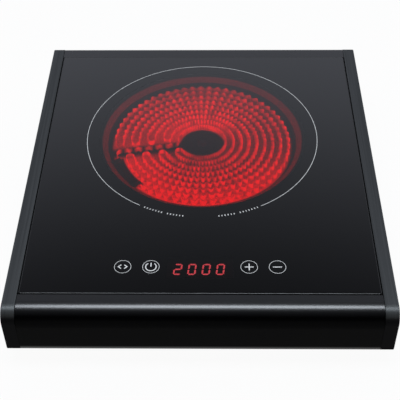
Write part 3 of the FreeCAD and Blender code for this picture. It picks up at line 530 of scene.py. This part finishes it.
ribbon_hot = make_finish("ribbon_hot", {"Base Color": colour(70, 46, 40), "Roughness": 0.7,
                                        "Emission Strength": 1.0}, glowing_alloy)
ribbon_run = ribbon_line()
ribbon = make_piece("corrugated_ribbon", [carried_bar(ribbon_run + np.array([heater_x, heater_y]),
                                                      RIBBON_THICKNESS / 2, ribbon_low.z, ribbon_high.z)],
                    ribbon_hot)
heat_along = ribbon.data.attributes.new("fold_heat", "FLOAT", "POINT")
heat_along.data.foreach_set("value", np.repeat(fold_heat(ribbon_run), 4))
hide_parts("heating_element")


# Terminal block and heat sensor: the block is pressed steatite on the pan's side, and the sensor a
# capsule with a steel cap in the pan's middle. The ribbon's tabs are steel, the posts of the boards brass.

SPECKLE = (0.55, 0.75)


def steatite(place):
    """Cream ceramic with faint speckles."""
    speck = noise(place, 0.0012, detail=4.0)
    return {"Base Color": tint(ease(speck, *SPECKLE), colour(224, 219, 206), colour(196, 186, 168)),
            "Roughness": 0.3 + 0.3 * speck,
            "Normal": relief(speck, depth=0.00003)}


def nickelled_brass(place):
    """Warm bright metal with drawing lines."""
    lines = noise(place, 0.0003, stretch=(8, 8, 1))
    return {"Base Color": tint(lines, colour(190, 170, 120), colour(206, 192, 158)),
            "Roughness": 0.22 + 0.2 * lines,
            "Normal": relief(lines, depth=0.00001)}


white_ceramic = make_finish("white_ceramic", {}, steatite)
dress(white_ceramic, "terminal_block")
contact_brass = make_finish("contact_brass", {"Metallic": 1.0}, nickelled_brass)
dress(contact_brass, "fan_bearing", "board_terminals", "fuse")
dress(spring_steel, "heater_terminals", "heat_sensor", "fan_shaft")


# Power board: a glass-fibre board on four bosses, green over copper tracks, with the parts that switch
# the heater: transformer, relay, triac on a finned sink, filter capacitor, fuse and buzzer. The control
# board, on a moulded carrier under the keys, is made the same way.

TRACK_GRID = 0.0025
TRACK_EDGE = (0.38, 0.42)


def printed_board(place):
    """Green lacquer over square-cornered copper tracks, which show as a lighter, raised pattern."""
    cells = place.node("TexVoronoi", {"distance": "CHEBYCHEV"},
                       {"Vector": in_units(place, TRACK_GRID), "Scale": 1.0})
    copper = ease(cells, *TRACK_EDGE)
    weave = noise(place, 0.0006)
    return {"Base Color": tint(copper, colour(16, 66, 40), colour(40, 104, 62)),
            "Roughness": 0.3 + 0.15 * weave,
            "Normal": relief(copper, depth=0.00004)}


def lacquered_core(place):
    """Stacked laminations, half a millimetre each, under grey lacquer."""
    layers = noise(place, 0.0005, detail=1.0, stretch=(40, 1, 40))
    return {"Base Color": tint(layers, colour(70, 71, 74), colour(104, 105, 108)),
            "Roughness": 0.45 + 0.2 * layers,
            "Normal": relief(layers, depth=0.00008)}


def extruded_aluminium(place):
    """Mill-finish aluminium with die lines up the fins."""
    lines = noise(place, 0.0003, stretch=(1, 1, 30))
    return {"Base Color": tint(lines, colour(188, 190, 192), colour(212, 214, 216)),
            "Roughness": 0.3 + 0.2 * lines,
            "Normal": relief(lines, depth=0.00002)}


def moulded_case(dark, light):
    """The skin of a small moulded case, between two tones of its colour."""
    def skin(place):
        peel = noise(place, 0.0009, detail=3.0)
        return {"Base Color": tint(peel, colour(*dark), colour(*light)),
                "Roughness": 0.35 + 0.3 * peel,
                "Normal": relief(peel, depth=0.00003)}
    return skin


board_green = make_finish("board_green", {}, printed_board)
dress(board_green, "power_board", "control_board")
core_grey = make_finish("core_grey", {"Metallic": 0.4}, lacquered_core)
dress(core_grey, "transformer")
sink_aluminium = make_finish("sink_aluminium", {"Metallic": 1.0}, extruded_aluminium)
dress(sink_aluminium, "heat_sink")
relay_blue = make_finish("relay_blue", {}, moulded_case((22, 60, 128), (34, 78, 150)))
dress(relay_blue, "relay")
capacitor_yellow = make_finish("capacitor_yellow", {}, moulded_case((206, 160, 38), (222, 178, 60)))
dress(capacitor_yellow, "filter_capacitor")
component_black = make_finish("component_black", {}, moulded_case((22, 22, 24), (32, 32, 34)))
dress(component_black, "triac", "buzzer", "control_carrier", "display_module", "thermal_cutout")


# Cooling fan: a glass-filled frame on four bosses over the slots in the tray, with a copper stator on
# its bearing tube. The rotor cup with its seven blades turns on the shaft.

fan_black = make_finish("fan_black", {}, moulded_case((24, 24, 26), (38, 38, 41)))
dress(fan_black, "fan_frame", "fan_rotor")


def wound_copper(place):
    """Enamelled wire, laid in turns a third of a millimetre apart."""
    turns = noise(place, 0.00033, detail=1.0, stretch=(30, 30, 1))
    return {"Base Color": tint(turns, colour(120, 58, 30), colour(206, 122, 72)),
            "Roughness": 0.2 + 0.2 * turns,
            "Normal": relief(turns, depth=0.00015)}


winding_copper = make_finish("winding_copper", {"Metallic": 0.9}, wound_copper)
dress(winding_copper, "fan_stator")


# Leads: stranded copper in silicone sleeves, red for live and for the fan, blue for neutral and white for
# the sensor and the flat cable between the boards. The sleeve is soft and slightly dusty.

def silicone_sleeve(dark, light):
    """Soft sleeve with a powdery bloom."""
    def sleeve(place):
        bloom = noise(place, 0.003, detail=4.0)
        return {"Base Color": tint(bloom, colour(*dark), colour(*light)),
                "Roughness": 0.45 + 0.3 * bloom,
                "Normal": relief(bloom, depth=0.00005)}
    return sleeve


lead_red = make_finish("lead_red", {}, silicone_sleeve((140, 20, 18), (172, 40, 34)))
dress(lead_red, "heater_lead_live", "cutout_link", "fan_lead")
lead_blue = make_finish("lead_blue", {}, silicone_sleeve((22, 46, 120), (42, 70, 150)))
dress(lead_blue, "heater_lead_neutral")
lead_white = make_finish("lead_white", {}, silicone_sleeve((196, 194, 188), (222, 220, 214)))
dress(lead_white, "sensor_lead", "board_cable")


# Display: four slanted seven-segment digits in a row, each segment a window on the face of the display
# module. The lit windows glow red through the glass, and the unlit ones are smoked plastic.

module_low, module_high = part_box("display_module")
DIGITS = ("abdeg", "abcdef", "abcdef", "abcdef")
DIGIT_HEIGHT = 0.0098
DIGIT_WIDTH = 0.0051
DIGIT_PITCH = 0.0108
DIGITS_FORWARD = 0.0005
DIGIT_ROW = (module_low.y + module_high.y) / 2 - DIGITS_FORWARD
DIGITS_LEFT = 0.0007
DIGIT_SLANT = math.tan(math.radians(6.5))
SEGMENT_WIDTH = 0.00125
SEGMENT_GAP = 0.00025
SEGMENT_RISE = 0.0001
SEGMENTS = {"a": ((-1, 1), (1, 1)), "b": ((1, 1), (1, 0)), "c": ((1, 0), (1, -1)), "d": ((1, -1), (-1, -1)),
            "e": ((-1, -1), (-1, 0)), "f": ((-1, 0), (-1, 1)), "g": ((-1, 0), (1, 0))}


def plate(outline, low, high):
    """A flat plate between two heights, whose outline runs counter-clockwise seen from above."""
    count = len(outline)
    points = np.concatenate([np.column_stack([outline, np.full(count, level)]) for level in (low, high)])
    here = np.arange(count)
    after = (here + 1) % count
    sides = np.column_stack([here, after, after + count, here + count])
    lids = np.array([here + count, here[::-1]])
    return points, sides.tolist() + lids.tolist()


def segment(name, place):
    """A six-cornered plate with pointed ends between two corners of the digit's frame, slanted with it."""
    half = np.array([DIGIT_WIDTH / 2, DIGIT_HEIGHT / 2])
    start, end = np.array(SEGMENTS[name]) * half
    run = (end - start) / np.linalg.norm(end - start)
    side = np.array([-run[1], run[0]]) * SEGMENT_WIDTH / 2
    tip = run * SEGMENT_GAP
    shoulder = run * (SEGMENT_GAP + SEGMENT_WIDTH / 2)
    outline = np.array([start + tip, start + shoulder - side, end - shoulder - side,
                        end - tip, end - shoulder + side, start + shoulder + side])
    outline[:, 0] += outline[:, 1] * DIGIT_SLANT
    return plate(outline + [place, DIGIT_ROW], module_high.z, module_high.z + SEGMENT_RISE)


def plates(chosen):
    """The (points, faces) shapes of some of the segments, where chosen(digit, name) is true."""
    shapes = []
    for place, digit in enumerate(DIGITS):
        for name in SEGMENTS:
            if chosen(digit, name):
                middle = (place - (len(DIGITS) - 1) / 2) * DIGIT_PITCH - DIGITS_LEFT
                shapes.append(segment(name, middle))
    return shapes


LIT = (6.6, 5.2, 5.8, 1.0)
LIT_DEEP = (5.2, 0.3, 0.4, 1.0)


def lit_window(place):
    """Diffused red light, a little uneven over the window."""
    return {"Emission Color": tint(noise(place, 0.001), LIT_DEEP, LIT)}


def smoked_window(place):
    """Dark red plastic with a moulded stipple."""
    stipple = noise(place, 0.0003)
    return {"Base Color": tint(stipple, colour(30, 8, 8), colour(44, 12, 12)),
            "Roughness": 0.3 + 0.3 * stipple,
            "Normal": relief(stipple, depth=0.00001)}


digit_lit = make_finish("digit_lit", {"Base Color": colour(60, 10, 10), "Emission Strength": 1.0}, lit_window)
make_piece("lit_segments", plates(lambda digit, name: name in digit), digit_lit)
digit_dark = make_finish("digit_dark", {}, smoked_window)
make_piece("unlit_segments", plates(lambda digit, name: name not in digit), digit_dark)


# Front fascia and rear panel: black mouldings between the rails, screwed to the tray from inside. The
# fascia is polished on its rounded top and lower edge and fine matt on the face between, and the rear
# panel is satin.

fascia_low, fascia_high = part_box("front_fascia")
POLISHED_TOP = (fascia_high.z - 0.0052, fascia_high.z - 0.0026)
POLISHED_FOOT = (fascia_low.z + 0.0054, fascia_low.z + 0.0016)
FACE_POLISH = 0.02


def polished_black(place):
    """Black lacquer with a trace of orange peel, whose gloss follows the height on the fascia."""
    height = along(place, "Z")
    polish = ease(height, *POLISHED_TOP) + ease(height, *POLISHED_FOOT)
    peel = noise(place, 0.004)
    return {"Base Color": tint(peel, colour(1, 1, 1), colour(4, 4, 5)),
            "Coat Weight": FACE_POLISH + (1 - FACE_POLISH) * polish,
            "Normal": relief(peel, depth=0.000004)}


def satin_black(place):
    """Black moulding with a fine even sheen."""
    peel = noise(place, 0.002, detail=3.0)
    return {"Base Color": tint(peel, colour(6, 6, 7), colour(10, 10, 11)),
            "Roughness": 0.12 + 0.08 * peel,
            "Normal": relief(peel, depth=0.000004)}


fascia_black = make_finish("fascia_black", {"Roughness": 0.4, "Specular IOR Level": 0.01,
                                            "Coat Roughness": 0.26, "Coat IOR": 1.7}, polished_black)
dress(fascia_black, "front_fascia")
panel_black = make_finish("panel_black", {}, satin_black)
dress(panel_black, "rear_panel")


# Glass seal: a bead of black silicone on the tray's ledges, which holds the plate and keeps spills out.
# It is squeezed by hand, so it is smooth and a little wavy.

def squeezed_silicone(place):
    """Smooth rubbery bead with slow waves."""
    wave = noise(place, 0.006)
    return {"Base Color": tint(wave, colour(14, 14, 15), colour(22, 22, 23)),
            "Roughness": 0.35 + 0.2 * wave,
            "Normal": relief(wave, depth=0.0001)}


seal_silicone = make_finish("seal_silicone", {}, squeezed_silicone)
dress(seal_silicone, "glass_seal")


# Glass plate: dyed glass ceramic, 4 mm thick with a ground edge, laid on the seal. It is coated black
# underneath, apart from two windows that let the red of the heater and of the digits through.

glass_low, glass_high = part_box("glass_top")
HEATER_WINDOW = (0.0895, 0.0885)
DIGIT_WINDOW_X = (0.0255, 0.0245)
DIGIT_WINDOW_Y = (0.0110, 0.0100)
GROUND_EDGE = (0.0013, 0.0009)
GROUND_SIDES = 0.6
GROUND_ENDS = 0.2
COAT = (0.0, 0.0, 0.0, 1.0)
DYE = (0.10, 0.02, 0.022, 1.0)


def size_of(value):
    """A value without its sign."""
    return value.node("Math", {"operation": "ABSOLUTE"}, {0: value})


def dyed_glass(place):
    """Clear polish with the faintest smears and a dull ground edge, and the windows in the coat."""
    left_right = size_of(along(place, "X"))
    digits = ease(left_right, *DIGIT_WINDOW_X) * ease(size_of(along(place, "Y") - DIGIT_ROW), *DIGIT_WINDOW_Y)
    window = ease(from_heater(place), *HEATER_WINDOW) + digits
    middle = (glass_low.y + glass_high.y) / 2
    to_side = glass_high.x - left_right
    to_end = (glass_high.y - middle) - size_of(along(place, "Y") - middle)
    ground = GROUND_SIDES * ease(to_side, *GROUND_EDGE) + GROUND_ENDS * ease(to_end, *GROUND_EDGE)
    return {"Base Color": tint(window, COAT, DYE),
            "Roughness": 0.02 + 0.03 * noise(place, 0.03, detail=3.0) + ground}


glass_black = make_finish("glass_black", {"IOR": 1.54, "Transmission Weight": 1.0}, dyed_glass)
dress(glass_black, "glass_top")


# Print on the glass: a pale enamel, screen-printed on the plate and fired. It marks the cooking zone
# with an open ring, and the four touch keys with a circle and a symbol each.

INK_RISE = 0.00003
RING_RADIUS = 0.1
RING_LINE = 0.00042
RING_STEP = 0.001
RING_OPENING = math.radians(29)
TICK_FIELD = (math.radians(8.3), math.radians(27))
TICK_COUNT = 14
TICK_SPACE = 6
TICK_REACH = 0.0008
TICK_LINE = 0.0007
KEY_RADIUS = 0.0063
KEY_LINE = 0.00036
SYMBOL_LINE = 0.00085
POWER_RADIUS = 0.0040
POWER_OPENING = math.radians(32)
POWER_BAR_FOOT = 0.0002
PLUS_REACH = 0.0034
CHEVRON_NEAR = 0.0012
CHEVRON_FAR = 0.0033
CHEVRON_REACH = 0.0019


def stroke(line, width, closed=False):
    """An ink line of a given width on the glass."""
    return carried_bar(np.array(line), width / 2, glass_high.z, glass_high.z + INK_RISE, closed)


def zone_ring():
    """A ring round the heater, open at the front, where a scale of plain ticks carries it on."""
    front = -math.pi / 2
    middle = np.array([heater_x, heater_y])
    round_heater = arc(middle, RING_RADIUS, front + RING_OPENING, front + 2 * math.pi - RING_OPENING,
                       RING_STEP)
    shapes = [stroke(round_heater, RING_LINE)]
    for side in (-1, 1):
        for tick, turn in enumerate(np.linspace(*TICK_FIELD, TICK_COUNT)):
            if tick != TICK_SPACE:
                across = front + side * turn
                shapes.append(stroke([middle + polar(RING_RADIUS - TICK_REACH, across),
                                      middle + polar(RING_RADIUS + TICK_REACH, across)], TICK_LINE))
    return shapes


def key_place(name):
    """The middle of a key, over its contact spring."""
    low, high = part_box(name)
    return np.array([(low.x + high.x) / 2, (low.y + high.y) / 2])


def key_circle(name):
    """The thin circle round a key."""
    return stroke(arc(key_place(name), KEY_RADIUS, 0, 2 * math.pi), KEY_LINE, True)


def mode_symbol():
    """Two chevrons, back to back."""
    middle = key_place("mode_key_spring")
    return [stroke(middle + np.array([(side * CHEVRON_NEAR, CHEVRON_REACH), (side * CHEVRON_FAR, 0),
                                      (side * CHEVRON_NEAR, -CHEVRON_REACH)]), SYMBOL_LINE)
            for side in (-1, 1)]


def power_symbol():
    """A circle open at the top, with an upright bar in the opening."""
    middle = key_place("power_key_spring")
    top = math.pi / 2
    return [stroke(arc(middle, POWER_RADIUS, top + POWER_OPENING, top + 2 * math.pi - POWER_OPENING),
                   SYMBOL_LINE),
            stroke(middle + np.array([(0, POWER_BAR_FOOT), (0, POWER_RADIUS)]), SYMBOL_LINE)]


def bar_symbol(name, crossed):
    """A level bar, or a cross of four arms for the plus."""
    middle = key_place(name)
    if not crossed:
        return [stroke(middle + np.array([(-PLUS_REACH, 0), (PLUS_REACH, 0)]), SYMBOL_LINE)]
    half = SYMBOL_LINE / 2
    arm = np.array([PLUS_REACH - half * 1j, PLUS_REACH + half * 1j, half + half * 1j])
    cross = np.concatenate([arm * 1j ** quarter for quarter in range(4)])
    outline = middle + np.column_stack([cross.real, cross.imag])
    return [plate(outline, glass_high.z, glass_high.z + INK_RISE)]


def fired_enamel(place):
    """Pale enamel with a slightly sandy surface."""
    sand = noise(place, 0.0004)
    return {"Base Color": tint(sand, colour(238, 237, 232), colour(250, 249, 244)),
            "Roughness": 0.4 + 0.2 * sand,
            "Normal": relief(sand, depth=0.000005)}


print_enamel = make_finish("print_enamel", {}, fired_enamel)
make_piece("zone_ring_print", zone_ring(), print_enamel)
key_shapes = {"mode_key": mode_symbol(), "power_key": power_symbol(),
              "plus_key": bar_symbol("plus_key_spring", True),
              "minus_key": bar_symbol("minus_key_spring", False)}
for key, shapes in key_shapes.items():
    make_piece(key + "_print", [key_circle(key + "_spring")] + shapes, print_enamel)


# Side rails: extruded aluminium cheeks, brushed along their length and anodised black, screwed to the
# tray from inside. Painted light and shade in their colour make them palest on top, duller and darker
# below it, and darkest on the front face.

RAIL_TOP = (fascia_high.z - 0.0050, fascia_high.z - 0.0016)
RAIL_ROLL = (fascia_high.z - 0.0002, fascia_high.z - 0.0014)
RAIL_FACE = (cad_low.y + 0.004, cad_low.y + 0.0005)
ROLL_DULLER = 0.16


def brushed_black(place):
    """Hair lines that run with the rail, in tone, gloss and relief, on a dark metal with painted light on top
    and painted shade below it and on the front face.
    """
    hairs = noise(place, 0.00035, detail=3.0, stretch=(1, 160, 160))
    bands = noise(place, 0.0016, stretch=(1, 120, 120))
    # Painted light and shade: the top's colour is paler, and the sides and the front face are painted darker.
    painted_top_light = ease(along(place, "Z"), *RAIL_TOP)
    lines = 0.4 * hairs + 0.6 * bands
    top = tint(lines, colour(44, 46, 46), colour(105, 107, 107))
    side = tint(lines, colour(26, 27, 27), colour(68, 69, 70))
    face = tint(lines, colour(10, 10, 11), colour(22, 22, 23))
    below = tint(ease(along(place, "Y"), *RAIL_FACE), side, face)
    return {"Base Color": tint(painted_top_light, below, top),
            "Roughness": 0.34 + 0.16 * lines + ROLL_DULLER * ease(along(place, "Z"), *RAIL_ROLL),
            "Normal": relief(lines, depth=0.00001)}


rail_metal = {"Metallic": 1.0, "Specular Tint": colour(204, 204, 204)}
rail_black = make_finish("rail_black", rail_metal, brushed_black)
dress(rail_black, "left_rail", "right_rail")


# Studio: a pale table before a wall of soft light, in a room that is dark at the front, with one strip lamp
# overhead. The camera stands in front and looks down at the hob, a little to the right of its middle.

TABLE_SIZE = 8.0
TABLE_GLOW = 0.95
WHITE = (1, 1, 1, 1)
SKY_HORIZON = 0.92
SKY_ZENITH = 0.14
SKY_FADE = (0.80, 0.56)
SKY_FRONT = 0.04
SKY_TURN = (-0.1, 0.2)
SKY_RIM = (0.20, 0.08)
SKY_COLOUR = (0.83, 0.87, 1.0, 1.0)
LAMP_SIZE = (0.85, 0.30)
LAMP_RADIANCE = 10.0
LAMP_PLACE = (0.0, cad_low.y + 0.085, 1.2)
LAMP_COLOUR = (0.86, 0.92, 1.0)
CAMERA_PLACE = (0.011016, cad_low.y - 0.421518, 0.585267)
CAMERA_YAW = math.radians(-1.258)
CAMERA_PITCH = math.radians(44.425)
CAMERA_ROLL = math.radians(0.819)
CAMERA_LENS = 84.013
SENSOR = 36.0


def table_top():
    """A level white sheet whose own glow, seen directly or in a mirror, lightens the hob's shadow."""
    half = TABLE_SIZE / 2
    mesh = bpy.data.meshes.new("table")
    corners = [(-half, -half, 0), (half, -half, 0), (half, half, 0), (-half, half, 0)]
    mesh.from_pydata(corners, [], [(0, 1, 2, 3)])
    material = bpy.data.materials.new("table_white")
    material.use_nodes = True
    tree = material.node_tree
    shader = tree.nodes["Principled BSDF"]
    shader.inputs["Base Color"].default_value = colour(252, 252, 252)
    shader.inputs["Roughness"].default_value = 0.9
    shader.inputs["Specular IOR Level"].default_value = 0.0
    ray = Shade(tree).node("LightPath", {}, {}, "Is Camera Ray")
    for kind in ("Is Glossy Ray", "Is Transmission Ray"):
        ray = ray + Shade(tree).node("LightPath", {}, {}, kind)
    glow = ray.node("Emission", {}, {"Color": WHITE, "Strength": 1.0})
    seen = ray.node("Math", {"operation": "MINIMUM"}, {0: ray, 1: 1.0})
    whole = ray.node("MixShader", {}, {0: seen * TABLE_GLOW, 1: Shade(tree, shader.outputs[0]), 2: glow})
    tree.links.new(whole.socket, tree.nodes["Material Output"].inputs["Surface"])
    mesh.materials.append(material)
    table = bpy.data.objects.new("table", mesh)
    bpy.context.scene.collection.objects.link(table)


def soft_sky():
    """A sky that is near white low down at the back, falls to a dim zenith and is dark at the front, with a
    white rim all round the table."""
    world = bpy.data.worlds.new("soft_sky")
    world.use_nodes = True
    tree = world.node_tree
    direction = Shade(tree).node("TexCoord", {}, {}, "Generated")
    height = along(direction, "Z")
    back = SKY_ZENITH - SKY_FRONT + (SKY_HORIZON - SKY_ZENITH) * ease(height, *SKY_FADE)
    light = SKY_FRONT + ease(along(direction, "Y"), *SKY_TURN) * back
    rim = ease(height, *SKY_RIM)
    background = tree.nodes["Background"]
    tree.links.new(tint(rim, SKY_COLOUR, WHITE).socket, background.inputs["Color"])
    tree.links.new((light + rim * (1 - light)).socket, background.inputs["Strength"])
    bpy.context.scene.world = world


def strip_lamp():
    """A long soft box over the front edge, which draws the bright line on the rounded fascia."""
    lamp = bpy.data.lights.new("strip_lamp", "AREA")
    lamp.shape = "RECTANGLE"
    lamp.size, lamp.size_y = LAMP_SIZE
    lamp.color = LAMP_COLOUR
    lamp.energy = LAMP_RADIANCE * math.pi * LAMP_SIZE[0] * LAMP_SIZE[1]
    holder = bpy.data.objects.new("strip_lamp", lamp)
    holder.location = LAMP_PLACE
    bpy.context.scene.collection.objects.link(holder)


def product_camera():
    """A camera turned by its heading, its tilt down and a slight roll."""
    ahead = np.array([math.sin(CAMERA_YAW) * math.cos(CAMERA_PITCH),
                      math.cos(CAMERA_YAW) * math.cos(CAMERA_PITCH), -math.sin(CAMERA_PITCH)])
    level = np.array([math.cos(CAMERA_YAW), -math.sin(CAMERA_YAW), 0])
    below = np.cross(ahead, level)
    right = math.cos(CAMERA_ROLL) * level + math.sin(CAMERA_ROLL) * below
    down = -math.sin(CAMERA_ROLL) * level + math.cos(CAMERA_ROLL) * below
    turn = np.eye(4)
    turn[:3] = np.column_stack([right, -down, -ahead, CAMERA_PLACE])
    data = bpy.data.cameras.new("product_camera")
    data.sensor_width = SENSOR
    data.lens = CAMERA_LENS
    camera = bpy.data.objects.new("product_camera", data)
    camera.matrix_world = Matrix(turn.tolist())
    bpy.context.scene.collection.objects.link(camera)
    bpy.context.scene.camera = camera


table_top()
soft_sky()
strip_lamp()
product_camera()
bpy.context.scene.view_settings.view_transform = "Standard"
